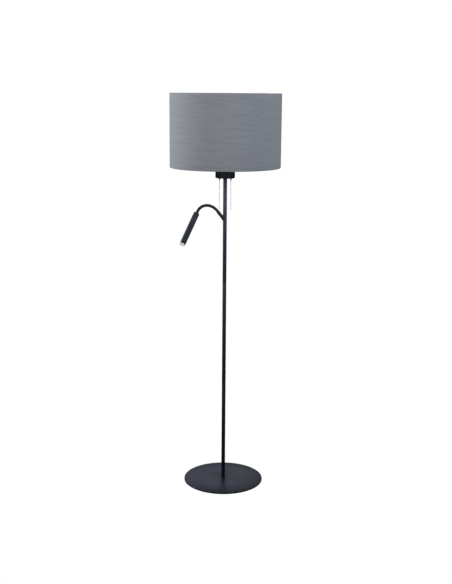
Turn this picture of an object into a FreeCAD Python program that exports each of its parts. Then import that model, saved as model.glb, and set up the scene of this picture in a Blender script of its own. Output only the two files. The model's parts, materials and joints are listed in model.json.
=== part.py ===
"""Drum-shade floor lamp with a bendable reading spot, as one parametric document.

Millimetres, +Z up, origin on the floor under the middle of the round base. The reading
spot hangs at the lamp's left front, which is -X and -Y.
"""
import FreeCAD, Part
import math
import os
import Sketcher

V = FreeCAD.Vector

# Driving dimensions: alias, value, what it is.
DIMENSIONS = [
    ("base_radius", 167.5, "steel base plate"),
    ("base_thickness", 6, "steel base plate"),
    ("base_chamfer", 0.8, "edge break of the base plate"),
    ("pad_thickness", 3, "foam pad glued under the plate"),
    ("pad_inset", 7, "pad edge inside the plate edge"),
    ("recess_radius", 20, "pocket for the lock nut under the plate"),
    ("recess_depth", 3, "pocket for the lock nut under the plate"),
    ("nipple_radius", 5, "M10 threaded tube"),
    ("nipple_bore", 3.5, "M10 threaded tube"),
    ("nut_corner", 8, "centre to corner of the thin hexagon nuts"),
    ("nut_thickness", 2.4, "thin hexagon nuts"),
    ("washer_radius", 10, "under the foot nut"),
    ("washer_thickness", 0.6, "under the foot nut"),
    ("pole_radius", 8, "outside of the pole tube"),
    ("pole_wall", 1.2, "pole tube"),
    ("insert_length", 14, "threaded inserts in the pole ends"),
    ("outlet_height", 38, "cable outlet at the back of the pole"),
    ("outlet_radius", 4, "hole for the cable outlet"),
    ("outlet_bore", 2.8, "bore of the outlet bush"),
    ("mains_lead_radius", 2, "sheathed lead in the pole"),
    ("spot_lead_radius", 1.3, "low-voltage lead in the pole"),
    ("cup_floor", 1302, "height of the switch cup's underside"),
    ("cup_radius", 40, "switch cup"),
    ("cup_depth", 60, "switch cup"),
    ("cup_wall", 1.2, "switch cup and its lid"),
    ("cup_round", 5, "round of the cup's lower edge"),
    ("lid_skirt", 8, "depth of the lid's rim"),
    ("screw_radius", 1.5, "small screws"),
    ("pull_radius", 25.2, "pull switches to lamp axis"),
    ("pull_turn", 22, "degrees that the pair of pull switches is turned"),
    ("bell_height", 10, "bell under the cup"),
    ("bell_top_radius", 4, "bell under the cup"),
    ("bell_mouth_radius", 3.1, "bell under the cup"),
    ("bell_bore", 1.8, "bell under the cup"),
    ("switch_radius", 7, "body of a pull switch"),
    ("switch_bore", 5.2, "body of a pull switch"),
    ("plunger_radius", 1.2, "stem of the plunger"),
    ("plunger_head", 4.6, "head of the plunger"),
    ("spring_radius", 3.2, "middle of the wire"),
    ("spring_length", 18, "return spring at rest"),
    ("spring_wire", 0.4, "radius of the spring wire"),
    ("chain_radius", 1.2, "ball chain"),
    ("chain_end", 1174, "height of the lower end of both chains"),
    ("holder_radius", 20, "E27 lampholder"),
    ("holder_cap", 24, "height of the lampholder cap"),
    ("holder_step", 14, "lower, wider part of the sleeve"),
    ("holder_thread", 12, "upper, threaded part of the sleeve"),
    ("holder_neck", 19, "radius of the sleeve's outer thread"),
    ("socket_radius", 13.7, "E27 screw socket"),
    ("bulb_cap_radius", 13.2, "E27 screw cap"),
    ("bulb_cap_wall", 0.6, "E27 screw cap"),
    ("globe_radius", 30, "A60 lamp"),
    ("globe_wall", 1.5, "A60 lamp"),
    ("shade_bottom", 1345, "lower edge of the shade"),
    ("shade_top", 1640, "upper edge of the shade"),
    ("shade_radius", 225, "outside of the shade"),
    ("shade_wall", 1, "fabric on its plastic liner"),
    ("ring_wire", 1.5, "radius of the shade ring wire"),
    ("ring_gap", 0.2, "ring wire to liner"),
    ("arm_wire", 1.6, "radius of a spider arm"),
    ("branch_height", 1128, "where the branch axis meets the pole axis"),
    ("branch_rise", 52, "degrees above level"),
    ("branch_length", 47.5, "pole axis to the branch end"),
    ("branch_radius", 6.7, "outside of the branch tube"),
    ("branch_bore", 4, "wire way through the branch"),
    ("ferrule_radius", 5.5, "end fittings of the flexible arm"),
    ("ferrule_bore", 3.2, "end fittings of the flexible arm"),
    ("ferrule_hold", 18, "length of a ferrule inside its socket"),
    ("neck_start", 50, "pole axis to the start of the bend"),
    ("neck_bend", 56, "bend radius of the flexible arm at rest"),
    ("neck_turn", 111.5, "degrees of bend at rest"),
    ("neck_lean", 37.5, "degrees that the bend leans to the front"),
    ("neck_radius", 5.4, "flexible arm"),
    ("neck_gap", 2, "between neighbouring links"),
    ("spot_tail", 9, "end of the bend to the back of the spot"),
    ("spot_radius", 12, "spot housing"),
    ("spot_length", 155, "spot housing"),
    ("spot_wall", 1.2, "spot housing"),
    ("spot_shoulder", 2.5, "chamfer round the back of the spot"),
    ("spot_cap", 16, "visible length of the rear cap"),
    ("spot_spigot", 4, "rear cap inside the tube"),
    ("window_radius", 6.2, "open middle of the front bezel"),
]
NECK_LINKS = 8
SHADE_ARMS = 3
SPRING_TURNS = 6


class Size:
    """A number of the sheet, or of sums on it, with the expression that gives it."""

    def __init__(self, value, text):
        self.value = float(value)
        self.text = text

    def combine(self, other, sign, result):
        text = other.text if isinstance(other, Size) else repr(other)
        return Size(result, "(%s %s %s)" % (self.text, sign, text))

    def __add__(self, other):
        return self.combine(other, "+", self.value + number(other))

    def __sub__(self, other):
        return self.combine(other, "-", self.value - number(other))

    def __mul__(self, other):
        return self.combine(other, "*", self.value * number(other))

    def __truediv__(self, other):
        return self.combine(other, "/", self.value / number(other))


def number(size):
    """The plain number of a Size or a number."""
    return size.value if isinstance(size, Size) else float(size)


def hypotenuse(a, b):
    """The long side of a right triangle, as a Size."""
    return Size(math.hypot(a.value, b.value), "sqrt(%s ^ 2 + %s ^ 2)" % (a.text, b.text))


doc = FreeCAD.newDocument("floor_lamp")
sheet = doc.addObject("Spreadsheet::Sheet", "Sizes")
D = {}
for row, (alias, value, meaning) in enumerate(DIMENSIONS, start=1):
    sheet.set("A%d" % row, meaning)
    sheet.set("B%d" % row, str(value))
    sheet.setAlias("B%d" % row, alias)
    D[alias] = Size(value, "Sizes." + alias)
doc.recompute()

nodes = []


def keep(feature, label):
    """Name a finished sub-part and put it on the list of files to write."""
    feature.Label = label
    nodes.append(feature)
    return feature


def bind(feature, **sizes):
    """Tie properties of a feature to the sheet; place_x, place_y and place_z move it."""
    for name, size in sizes.items():
        path = name.replace("place_", "Placement.Base.")
        if isinstance(size, Size):
            feature.setExpression(path, size.text)
        else:
            feature.setExpression(path, repr(size))
    return feature


def rod(name, radius, length, bottom=None, x=None, y=None):
    """An upright cylinder."""
    feature = bind(doc.addObject("Part::Cylinder", name), Radius=radius, Height=length)
    for path, size in (("place_x", x), ("place_y", y), ("place_z", bottom)):
        if size is not None:
            bind(feature, **{path: size})
    return feature


def cut(name, base, *tools):
    """base less every tool."""
    feature = doc.addObject("Part::Cut", name)
    feature.Base = base
    feature.Tool = tools[0] if len(tools) == 1 else fuse(name + "_tools", tools)
    return feature


def fuse(name, pieces):
    """One solid from several."""
    feature = doc.addObject("Part::MultiFuse", name)
    feature.Shapes = list(pieces)
    return feature


def group(name, pieces):
    """Several separate solids in one sub-part."""
    feature = doc.addObject("Part::Compound", name)
    feature.Links = list(pieces)
    return feature


def tube(name, outer, inner, length, bottom=None, x=None, y=None):
    """An upright tube; its bore runs a little past both ends."""
    spare = 1
    below = bottom - spare if isinstance(bottom, Size) else -spare
    bore = rod(name + "_bore", inner, length + 2 * spare, below, x, y)
    return cut(name, rod(name + "_outside", outer, length, bottom, x, y), bore)


def nut(name, bottom):
    """A thin hexagon nut for the M10 threaded tube."""
    blank = doc.addObject("Part::Prism", name + "_blank")
    bind(blank, Circumradius=D["nut_corner"], Height=D["nut_thickness"], place_z=bottom)
    bore = rod(name + "_bore", D["nipple_radius"], D["nut_thickness"] + 2, bottom - 1)
    return cut(name, blank, bore)


def lathe(label, outline, place=None):
    """A body turned round its own Z axis from (radius, height) points."""
    body = doc.addObject("PartDesign::Body", label)
    sketch = body.newObject("Sketcher::SketchObject", label + "_profile")
    plane = [item for item in body.Origin.OriginFeatures if item.Role == "XZ_Plane"][0]
    sketch.AttachmentSupport = [(plane, "")]
    sketch.MapMode = "FlatFace"
    corners = [V(number(x), number(z), 0) for x, z in outline]
    count = len(corners)
    for i in range(count):
        sketch.addGeometry(Part.LineSegment(corners[i], corners[(i + 1) % count]), False)
    for i in range(count):
        sketch.addConstraint(Sketcher.Constraint("Coincident", i, 2, (i + 1) % count, 1))
    for i, point in enumerate(outline):
        for direction, size in zip(("DistanceX", "DistanceY"), point):
            rule = Sketcher.Constraint(direction, -1, 1, i, 1, number(size))
            index = sketch.addConstraint(rule)
            if isinstance(size, Size):
                sketch.setExpression("Constraints[%d]" % index, size.text)
    turned = body.newObject("PartDesign::Revolution", label + "_turned")
    turned.Profile = sketch
    turned.ReferenceAxis = (sketch, ["V_Axis"])
    turned.Angle = 360
    if place is not None:
        body.Placement = place
    return body


def round_edge(body, radius, edge_radius, height):
    """Fillet the one circle of a turned body that has this radius and height."""
    doc.recompute()
    base = body.Tip
    names = []
    for i, edge in enumerate(base.Shape.Edges, start=1):
        if not isinstance(edge.Curve, Part.Circle):
            continue
        same_radius = abs(edge.Curve.Radius - edge_radius) < 0.01
        if same_radius and abs(edge.Curve.Center.z - height) < 0.01:
            names.append("Edge%d" % i)
    fillet = body.newObject("PartDesign::Fillet", body.Label + "_round")
    fillet.Base = (base, names)
    bind(fillet, Radius=radius)


# Heights that several sub-parts share.
pole_foot = D["pad_thickness"] + D["base_thickness"]
section = (D["cup_floor"] - pole_foot) / 3
cup_inside = D["cup_floor"] + D["cup_wall"]
lid_top = D["cup_floor"] + D["cup_depth"]
sleeve_bottom = lid_top + D["holder_cap"]
ring_seat = sleeve_bottom + D["holder_step"]
pole_bore = D["pole_radius"] - D["pole_wall"]


def frame_at(origin, z_axis, x_hint):
    """A placement with its Z axis along z_axis and its X axis near x_hint."""
    return FreeCAD.Placement(origin, FreeCAD.Rotation(x_hint, V(), z_axis, "ZXY"))


# Directions of the branch, the bend of the flexible arm and the spot.
rise = math.radians(number(D["branch_rise"]))
lean = math.radians(number(D["neck_lean"]))
turn = math.radians(number(D["neck_turn"]))
branch_axis = V(-math.cos(rise), 0, math.sin(rise))
branch_down = V(-math.sin(rise), 0, -math.cos(rise))
bend_in = branch_down * math.cos(lean) + V(0, -1, 0) * math.sin(lean)
bend_normal = (bend_in * -1).cross(branch_axis)
spot_axis = branch_axis * math.cos(turn) + bend_in * math.sin(turn)
branch_root = V(0, 0, number(D["branch_height"]))
bend_start = branch_root + branch_axis * number(D["neck_start"])
bend_centre = bend_start + bend_in * number(D["neck_bend"])
bend_end = (bend_centre - bend_in * math.cos(turn) * number(D["neck_bend"])
            + branch_axis * math.sin(turn) * number(D["neck_bend"]))
spot_back = bend_end + spot_axis * number(D["spot_tail"])
along_branch = frame_at(branch_root, branch_axis, V(0, 1, 0))
along_spot = frame_at(spot_back, spot_axis, bend_normal)
in_bend = FreeCAD.Placement(
    bend_centre, FreeCAD.Rotation(bend_in * -1, branch_axis, bend_normal, "ZXY"))


def make_base():
    """Round steel plate on a foam pad, with the threaded tube that the pole screws on."""
    bottom = D["pad_thickness"]
    pocket_top = bottom + D["recess_depth"]
    edge = D["base_radius"] - D["base_chamfer"]
    keep(lathe("base_plate", [
        (D["nipple_radius"], pocket_top), (D["nipple_radius"], pole_foot),
        (edge, pole_foot), (D["base_radius"], pole_foot - D["base_chamfer"]),
        (D["base_radius"], bottom + D["base_chamfer"]), (edge, bottom),
        (D["recess_radius"], bottom), (D["recess_radius"], pocket_top)]), "base_plate")
    pad_edge = D["base_radius"] - D["pad_inset"]
    pad_hole = D["recess_radius"] + 2
    keep(tube("base_pad", pad_edge, pad_hole, D["pad_thickness"]), "base_pad")
    washer_bottom = pocket_top - D["washer_thickness"]
    keep(tube("foot_washer", D["washer_radius"], D["nipple_radius"],
              D["washer_thickness"], washer_bottom), "foot_washer")
    nut_bottom = washer_bottom - D["nut_thickness"]
    keep(nut("foot_nut", nut_bottom), "foot_nut")
    nipple_bottom = nut_bottom - 1.5
    keep(tube("foot_nipple", D["nipple_radius"], D["nipple_bore"],
              pole_foot + 13 - nipple_bottom, nipple_bottom), "foot_nipple")


def make_pole():
    """Three tubes in a row, screwed together inside with threaded tubes and inserts."""
    outlet = rod("outlet_hole", D["outlet_radius"], 20)
    outlet.Placement = frame_at(V(0, 0, number(D["outlet_height"])), V(0, 1, 0), V(1, 0, 0))
    wire_way = rod("branch_hole", D["branch_bore"], 20)
    wire_way.Placement = along_branch
    holes = {"lower_pole": outlet, "upper_pole": wire_way}
    inserts = []
    for i, label in enumerate(("lower_pole", "middle_pole", "upper_pole")):
        bottom = pole_foot + section * i
        plain = tube(label + "_tube", D["pole_radius"], pole_bore, section, bottom)
        keep(cut(label, plain, holes[label]) if label in holes else plain, label)
        for end, height in (("foot", bottom), ("head", bottom + section - D["insert_length"])):
            inserts.append(tube("%s_%s_insert" % (label, end), pole_bore,
                                D["nipple_radius"], D["insert_length"], height))
    keep(group("pole_thread_inserts", inserts), "pole_thread_inserts")
    joints = [tube("pole_nipple_%d" % i, D["nipple_radius"], D["nipple_bore"],
                   D["insert_length"] * 2 - 2, pole_foot + section * i - D["insert_length"] + 1)
              for i in (1, 2)]
    keep(group("pole_joint_nipples", joints), "pole_joint_nipples")


def make_outlet_bush():
    """Flanged bush where the mains cord would leave the back of the pole."""
    flange = rod("bush_flange", D["outlet_radius"] + 1.5, D["pole_radius"] + 2)
    stem = rod("bush_stem", D["outlet_radius"], D["pole_radius"] + 2)
    bore = rod("bush_bore", D["outlet_bore"], D["pole_radius"] + 4)
    for piece in (flange, stem, bore):
        piece.Placement = frame_at(V(0, 0, number(D["outlet_height"])), V(0, 1, 0), V(1, 0, 0))
    height = D["outlet_height"] - 12
    around = rod("bush_round_pole", D["pole_radius"], 24, height)
    inside = rod("bush_in_pole", pole_bore - 0.4, 24, height)
    collar = cut("bush_collar", flange, around)
    neck = cut("bush_neck", stem, inside)
    keep(cut("cable_outlet_bush", fuse("bush_blank", [collar, neck]), bore),
         "cable_outlet_bush")


def make_leads():
    """The two leads that the pole holds, side by side in the threaded tubes."""
    top = cup_inside + 9
    low = D["outlet_height"] - 8
    keep(rod("mains_lead_in_pole", D["mains_lead_radius"], top - low, low,
             x=D["mains_lead_radius"] * 0.7), "mains_lead_in_pole")
    keep(rod("spot_lead_in_pole", D["spot_lead_radius"], top - D["branch_height"],
             D["branch_height"], x=D["spot_lead_radius"] * -1.58), "spot_lead_in_pole")


def pull_place(side, height):
    """Place on a pull switch's axis; side is -1 on the left and 1 on the right."""
    angle = math.radians(number(D["pull_turn"]))
    radius = side * number(D["pull_radius"])
    return V(radius * math.cos(angle), -radius * math.sin(angle), number(height))


def make_cup():
    """Spun cup on top of the pole, its lid, and what clamps them."""
    wall = D["cup_wall"]
    inner = D["cup_radius"] - wall
    shell = lathe("cup_spinning", [
        (D["nipple_radius"], D["cup_floor"]), (D["cup_radius"], D["cup_floor"]),
        (D["cup_radius"], lid_top), (inner, lid_top), (inner, cup_inside),
        (D["nipple_radius"], cup_inside)])
    round_edge(shell, D["cup_round"], number(D["cup_radius"]), number(D["cup_floor"]))
    round_edge(shell, D["cup_round"] - wall, number(inner), number(cup_inside))
    holes = []
    for name, side in (("left", -1), ("right", 1)):
        hole = rod("bell_hole_" + name, D["bell_mouth_radius"] - 0.1, 6)
        hole.Placement.Base = pull_place(side, D["cup_floor"] - 3)
        holes.append(hole)
    screw_height = lid_top - D["lid_skirt"] / 2
    screws = []
    for name, side in (("left", -1), ("right", 1)):
        screw = rod("lid_screw_" + name, D["screw_radius"], D["cup_wall"] * 3)
        start = V(side * number(inner - wall - 1), 0, number(screw_height))
        screw.Placement = frame_at(start, V(side, 0, 0), V(0, 1, 0))
        screws.append(screw)
    keep(cut("cup_shell", shell, *(holes + screws)), "cup_shell")
    keep(group("cup_lid_screws", screws), "cup_lid_screws")
    skirt_bottom = lid_top - D["lid_skirt"]
    lid = lathe("cup_lid_pressing", [
        (D["nipple_radius"], lid_top - wall), (inner - wall, lid_top - wall),
        (inner - wall, skirt_bottom), (inner, skirt_bottom), (inner, lid_top),
        (D["nipple_radius"], lid_top)])
    keep(cut("cup_lid", lid, *screws), "cup_lid")
    nipples = [
        tube("cup_floor_nipple", D["nipple_radius"], D["nipple_bore"], 18, cup_inside - 13),
        tube("lampholder_nipple", D["nipple_radius"], D["nipple_bore"], 13, lid_top - 8)]
    keep(group("cup_nipples", nipples), "cup_nipples")
    nuts = [nut("cup_floor_nut", cup_inside), nut("cup_lid_nut", lid_top - wall - 2.4)]
    keep(group("cup_lock_nuts", nuts), "cup_lock_nuts")


def block(label, width, depth, height, x, y, bottom):
    """A plain box with its low corner at x, y, bottom."""
    feature = doc.addObject("Part::Box", label)
    bind(feature, Length=width, Width=depth, Height=height)
    bind(feature, place_x=x, place_y=y, place_z=bottom)
    return keep(feature, label)


def make_cup_electrics():
    """Mains terminal block and the driver of the reading spot."""
    block("terminal_block", 28, 12, 10, -14, 14, cup_inside)
    block("led_driver", 32, 12, 20, -16, -26, cup_inside)


def make_pull(name, side):
    """One pull switch: bell, body, plunger, return spring and hanging chain."""
    place = FreeCAD.Placement(pull_place(side, D["cup_floor"]), FreeCAD.Rotation())
    bore = D["bell_bore"]
    wall = D["cup_wall"]
    neck = D["bell_mouth_radius"] - 0.1
    down = D["bell_height"] * -1
    keep(lathe("bell_" + name, [
        (bore, down), (D["bell_mouth_radius"], down), (D["bell_top_radius"], -2),
        (D["bell_top_radius"], 0), (neck, 0), (neck, wall), (bore, wall)], place),
        "pull_bell_" + name)
    floor = wall + 2
    head = floor + D["spring_length"]
    ceiling = head + 2.2
    keep(lathe("switch_" + name, [
        (bore, wall), (D["switch_radius"], wall), (D["switch_radius"], ceiling + 2),
        (0, ceiling + 2), (0, ceiling), (D["switch_bore"], ceiling),
        (D["switch_bore"], floor), (bore, floor)], place), "pull_switch_" + name)
    stem_end = down + 1
    keep(lathe("plunger_" + name, [
        (0, stem_end), (D["plunger_radius"], stem_end), (D["plunger_radius"], head),
        (D["plunger_head"], head), (D["plunger_head"], head + 2), (0, head + 2)], place),
        "pull_plunger_" + name)
    make_spring(name, place, floor)
    chain = rod("chain_" + name, D["chain_radius"],
                D["cup_floor"] + stem_end - D["chain_end"])
    chain.Placement.Base = pull_place(side, D["chain_end"])
    keep(chain, "pull_chain_" + name)


def make_spring(name, place, floor):
    """Compression spring round the plunger, between the body's floor and the head."""
    end_gap = 0.05
    lift = D["spring_wire"] + end_gap
    helix = doc.addObject("Part::Helix", "spring_line_" + name)
    height = D["spring_length"] - lift * 2
    bind(helix, Radius=D["spring_radius"], Height=height, Pitch=height / SPRING_TURNS)
    wire = doc.addObject("Part::Circle", "spring_wire_" + name)
    bind(wire, Radius=D["spring_wire"], place_x=D["spring_radius"])
    wire.Placement.Rotation = FreeCAD.Rotation(V(1, 0, 0), 90)
    doc.recompute()
    spring = doc.addObject("Part::Sweep", "spring_" + name)
    spring.Sections = [wire]
    spring.Spine = (helix, ["Edge%d" % (i + 1) for i in range(len(helix.Shape.Edges))])
    spring.Solid = True
    spring.Frenet = True
    spring.Placement = FreeCAD.Placement(
        place.Base + V(0, 0, number(floor + lift)), FreeCAD.Rotation())
    keep(spring, "pull_spring_" + name)


def make_lampholder():
    """E27 lampholder: cap, insert and sleeve, with the ring that clamps the shade."""
    wall = 2
    outer = D["holder_radius"]
    thin = outer - wall
    keep(lathe("holder_cap", [
        (D["nipple_radius"], lid_top), (outer, lid_top), (outer, sleeve_bottom),
        (thin, sleeve_bottom), (thin, lid_top + 3), (D["nipple_radius"], lid_top + 3)]),
        "lampholder_cap")
    keep(rod("lampholder_insert", thin - 0.5, 16, lid_top + 6), "lampholder_insert")
    thread_top = ring_seat + D["holder_thread"]
    keep(lathe("holder_sleeve", [
        (D["socket_radius"], sleeve_bottom), (outer, sleeve_bottom), (outer, ring_seat),
        (D["holder_neck"], ring_seat), (D["holder_neck"], thread_top),
        (D["socket_radius"], thread_top)]), "lampholder_sleeve")
    keep(tube("shade_clamp_ring", outer + 4, D["holder_neck"], 7, ring_seat + 3),
         "shade_clamp_ring")


def make_bulb():
    """LED lamp in the shape of a household bulb."""
    cap_bottom = sleeve_bottom + 1
    cap_top = cap_bottom + 26
    housing_top = cap_top + 32
    neck = D["globe_radius"] * 0.643
    inner = D["bulb_cap_radius"] - D["bulb_cap_wall"]
    keep(lathe("bulb_base", [
        (0, cap_bottom - 2), (5, cap_bottom - 2), (5, cap_bottom),
        (D["bulb_cap_radius"], cap_bottom + 3), (D["bulb_cap_radius"], cap_top),
        (inner, cap_top), (inner, cap_bottom + 3.6), (0, cap_bottom + 3.6)]),
        "bulb_screw_cap")
    keep(lathe("bulb_body", [
        (0, cap_top), (D["bulb_cap_radius"] + 1, cap_top), (neck, housing_top),
        (0, housing_top)]), "bulb_housing")
    balls = []
    for name, radius, cut_below in (("bulb_ball", D["globe_radius"], -50),
                                    ("bulb_hollow", D["globe_radius"] - D["globe_wall"], -54)):
        ball = doc.addObject("Part::Sphere", name)
        bind(ball, Radius=radius, place_z=housing_top + D["globe_radius"] * 0.766)
        ball.Angle1 = cut_below
        balls.append(ball)
    keep(cut("bulb_shell", *balls), "bulb_globe")


def make_shade():
    """Drum shade: skin, two wire rings and the three-armed spider that carries it."""
    inside = D["shade_radius"] - D["shade_wall"]
    height = D["shade_top"] - D["shade_bottom"]
    keep(tube("shade_skin", D["shade_radius"], inside, height, D["shade_bottom"]),
         "shade_skin")
    ring_line = inside - D["ring_wire"] - D["ring_gap"]
    lift = D["ring_wire"] + 0.5
    low_ring = D["shade_bottom"] + lift
    for label, z in (("shade_bottom_ring", low_ring), ("shade_top_ring", D["shade_top"] - lift)):
        ring = doc.addObject("Part::Torus", label)
        bind(ring, Radius1=ring_line, Radius2=D["ring_wire"], place_z=z)
        keep(ring, label)
    thickness = 3
    eye = tube("spider_eye", D["holder_radius"] + 4, D["holder_neck"] + 0.3, thickness,
               ring_seat)
    eye_middle = ring_seat + thickness / 2
    reach = ring_line - D["ring_wire"] - D["ring_gap"] - D["arm_wire"]
    start = D["holder_radius"] + 2
    run = reach - start
    drop = eye_middle - low_ring
    pieces = [eye]
    for i in range(SHADE_ARMS):
        angle = math.radians(60 + 360 / SHADE_ARMS * i)
        outward = V(math.cos(angle), math.sin(angle), 0)
        arm = rod("spider_arm_%d" % (i + 1), D["arm_wire"], hypotenuse(run, drop))
        slope = outward * number(run) - V(0, 0, number(drop))
        corner = outward * number(start) + V(0, 0, number(eye_middle))
        arm.Placement = frame_at(corner, slope, V(0, 0, 1))
        pieces.append(arm)
    keep(fuse("shade_spider", pieces), "shade_spider")


def make_branch():
    """Short tube welded to the pole, and the ferrule of the flexible arm in its end."""
    blank = rod("branch_blank", D["branch_radius"], D["branch_length"])
    wire_way = rod("branch_wire_way", D["branch_bore"], D["branch_length"] + 2)
    socket = rod("branch_socket", D["ferrule_radius"], D["ferrule_hold"] + 1)
    for piece in (blank, wire_way, socket):
        piece.Placement = along_branch
    depth = number(D["branch_length"] - D["ferrule_hold"])
    socket.Placement.Base = branch_root + branch_axis * depth
    pole = rod("branch_saddle", D["pole_radius"], 80, D["branch_height"] - 40)
    keep(cut("branch_tube", blank, wire_way, socket, pole), "branch_tube")
    reach = D["neck_start"] - D["neck_gap"] / 2 - D["branch_length"]
    ferrule = tube("branch_ferrule", D["ferrule_radius"], D["ferrule_bore"],
                   D["ferrule_hold"] + reach)
    ferrule.Placement = FreeCAD.Placement(socket.Placement.Base, along_branch.Rotation)
    keep(ferrule, "neck_root_ferrule")


def make_neck():
    """The flexible arm as equal curved links, one after another round the bend."""
    step = D["neck_turn"] / NECK_LINKS
    gap_angle = D["neck_gap"] / D["neck_bend"] * math.degrees(1)
    for i in range(NECK_LINKS):
        rings = []
        for name, radius in (("outside", D["neck_radius"]), ("bore", D["ferrule_bore"])):
            ring = doc.addObject("Part::Torus", "link_%d_%s" % (i + 1, name))
            bind(ring, Radius1=D["neck_bend"], Radius2=radius, Angle3=step - gap_angle)
            start = number(step * i + gap_angle / 2)
            ring.Placement = in_bend * FreeCAD.Placement(V(), FreeCAD.Rotation(V(0, 0, 1), start))
            rings.append(ring)
        keep(cut("link_%d" % (i + 1), *rings), "neck_link_%d" % (i + 1))


def make_spot():
    """Reading spot: rear cap, tube, light engine, lens and bezel, on its ferrule."""
    radius = D["spot_radius"]
    inner = radius - D["spot_wall"]
    hold = D["spot_cap"] + D["spot_spigot"]
    screw = rod("spot_screw_blank", D["screw_radius"], 6)
    seat = along_spot.multVec(V(-number(D["ferrule_radius"]), 0, 9))
    outward = along_spot.Rotation.multVec(V(-1, 0, 0))
    screw.Placement = frame_at(seat, outward, spot_axis)
    cap = lathe("spot_cap_turned", [
        (D["ferrule_radius"], 0), (radius - D["spot_shoulder"], 0),
        (radius, D["spot_shoulder"]), (radius, D["spot_cap"]), (inner, D["spot_cap"]),
        (inner, hold), (D["ferrule_radius"], hold)], along_spot)
    keep(cut("spot_rear_cap", cap, screw), "spot_rear_cap")
    keep(screw, "spot_clamp_screw")
    front = D["spot_length"]
    keep(lathe("spot_tube_turned", [
        (inner, D["spot_cap"]), (radius, D["spot_cap"]), (radius, front), (inner, front)],
        along_spot), "spot_tube")
    slug_back = front - 37
    slug_front = front - 18
    keep(lathe("spot_slug", [
        (D["ferrule_bore"], slug_back), (inner, slug_back), (inner, slug_front),
        (0, slug_front), (0, slug_front - 4), (D["ferrule_bore"], slug_front - 4)],
        along_spot), "spot_heat_spreader")
    board_front = slug_front + 1.6
    keep(lathe("spot_board", [
        (0, slug_front), (inner - 0.4, slug_front), (inner - 0.4, board_front),
        (4, board_front), (4, board_front + 1), (0, board_front + 1)],
        along_spot), "spot_led_board")
    lens_back = board_front + 1.4
    lens_front = front - 3
    keep(lathe("spot_lens_moulded", [
        (0, lens_back), (4.5, lens_back), (inner - 0.2, lens_front - 1.5),
        (inner - 0.2, lens_front), (0, lens_front)], along_spot), "spot_lens")
    keep(lathe("spot_bezel_turned", [
        (D["window_radius"], lens_front), (inner, lens_front), (inner, front - 0.6),
        (D["window_radius"] + 1, front - 0.6)], along_spot), "spot_bezel")
    ferrule = tube("spot_ferrule_tube", D["ferrule_radius"], D["ferrule_bore"],
                   hold + D["spot_tail"] - D["neck_gap"] / 2)
    back = bend_end + spot_axis * number(D["neck_gap"] / 2)
    ferrule.Placement = FreeCAD.Placement(back, along_spot.Rotation)
    keep(ferrule, "spot_ferrule")


def check_document():
    """Stop if any object failed or any sub-part has a bad shape."""
    for item in doc.Objects:
        if "Invalid" in item.State or "Error" in item.State:
            raise RuntimeError("failed object: %s %s" % (item.Label, item.State))
    for item in nodes:
        if item.Shape.isNull() or not item.Shape.isValid():
            raise RuntimeError("bad shape: " + item.Label)
        if not item.Shape.Solids:
            raise RuntimeError("no solid: " + item.Label)


make_base()
make_pole()
make_outlet_bush()
make_leads()
make_cup()
make_cup_electrics()
make_pull("left", -1)
make_pull("right", 1)
make_lampholder()
make_bulb()
make_shade()
make_branch()
make_neck()
make_spot()
doc.recompute()
check_document()

os.makedirs("parts", exist_ok=True)
for item in nodes:
    item.Shape.exportStep("parts/%s.step" % item.Label)
    print("%-22s %2d solid(s) %12.1f mm3" % (item.Label, len(item.Shape.Solids), item.Shape.Volume))
print(len(nodes), "files")
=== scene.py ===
# %% [markdown]
# # A floor lamp with a drum shade and a bendable reading spot
#
# The lamp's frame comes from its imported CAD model: a plate base, a thin pole, a switch cup
# with two pull chains, a drum shade, and a reading spot on a flexible arm. Every CAD part
# keeps its place. This lesson gives each part its finish, and replaces those whose real
# shape is finer than a plain turned solid: the cloth of the shade, the wound sleeve of the
# arm, the ball chains, the bulb and the turned metal.

# %% Load the frame
import json
from math import atan2, cos, degrees, floor, pi, radians, sin, sqrt, tau

import bmesh
import bpy
from mathutils import Matrix, Vector


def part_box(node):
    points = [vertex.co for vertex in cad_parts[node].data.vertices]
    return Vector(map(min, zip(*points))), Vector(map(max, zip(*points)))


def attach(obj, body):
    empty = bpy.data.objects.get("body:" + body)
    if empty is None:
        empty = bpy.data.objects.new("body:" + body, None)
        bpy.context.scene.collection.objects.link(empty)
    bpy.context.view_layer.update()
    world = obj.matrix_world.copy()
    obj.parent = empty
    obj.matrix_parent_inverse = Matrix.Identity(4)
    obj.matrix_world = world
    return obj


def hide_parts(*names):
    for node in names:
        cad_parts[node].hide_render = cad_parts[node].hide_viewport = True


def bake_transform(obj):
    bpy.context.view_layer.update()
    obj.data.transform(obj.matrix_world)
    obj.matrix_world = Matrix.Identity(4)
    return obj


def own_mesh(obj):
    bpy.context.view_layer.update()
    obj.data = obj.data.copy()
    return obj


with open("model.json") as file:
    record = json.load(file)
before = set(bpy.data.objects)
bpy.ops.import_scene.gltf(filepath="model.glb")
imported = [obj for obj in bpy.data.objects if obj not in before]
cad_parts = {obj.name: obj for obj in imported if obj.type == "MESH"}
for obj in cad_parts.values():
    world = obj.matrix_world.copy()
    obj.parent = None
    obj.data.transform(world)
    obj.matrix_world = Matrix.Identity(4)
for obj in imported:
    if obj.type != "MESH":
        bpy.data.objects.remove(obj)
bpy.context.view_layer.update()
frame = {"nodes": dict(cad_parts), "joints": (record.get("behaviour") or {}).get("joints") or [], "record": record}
nodes = frame["nodes"]
joints = {joint["name"]: joint for joint in frame["joints"]}

# %% [markdown]
# ## Where things are
#
# Blender works in metres. Heights come from the boxes of the CAD nodes, so that a change of
# the CAD model carries over. The flexible arm's rest curve is an arc: each hinge of the CAD
# chain lies on it, so two hinges give its centre, its plane and its tangents.

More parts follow.
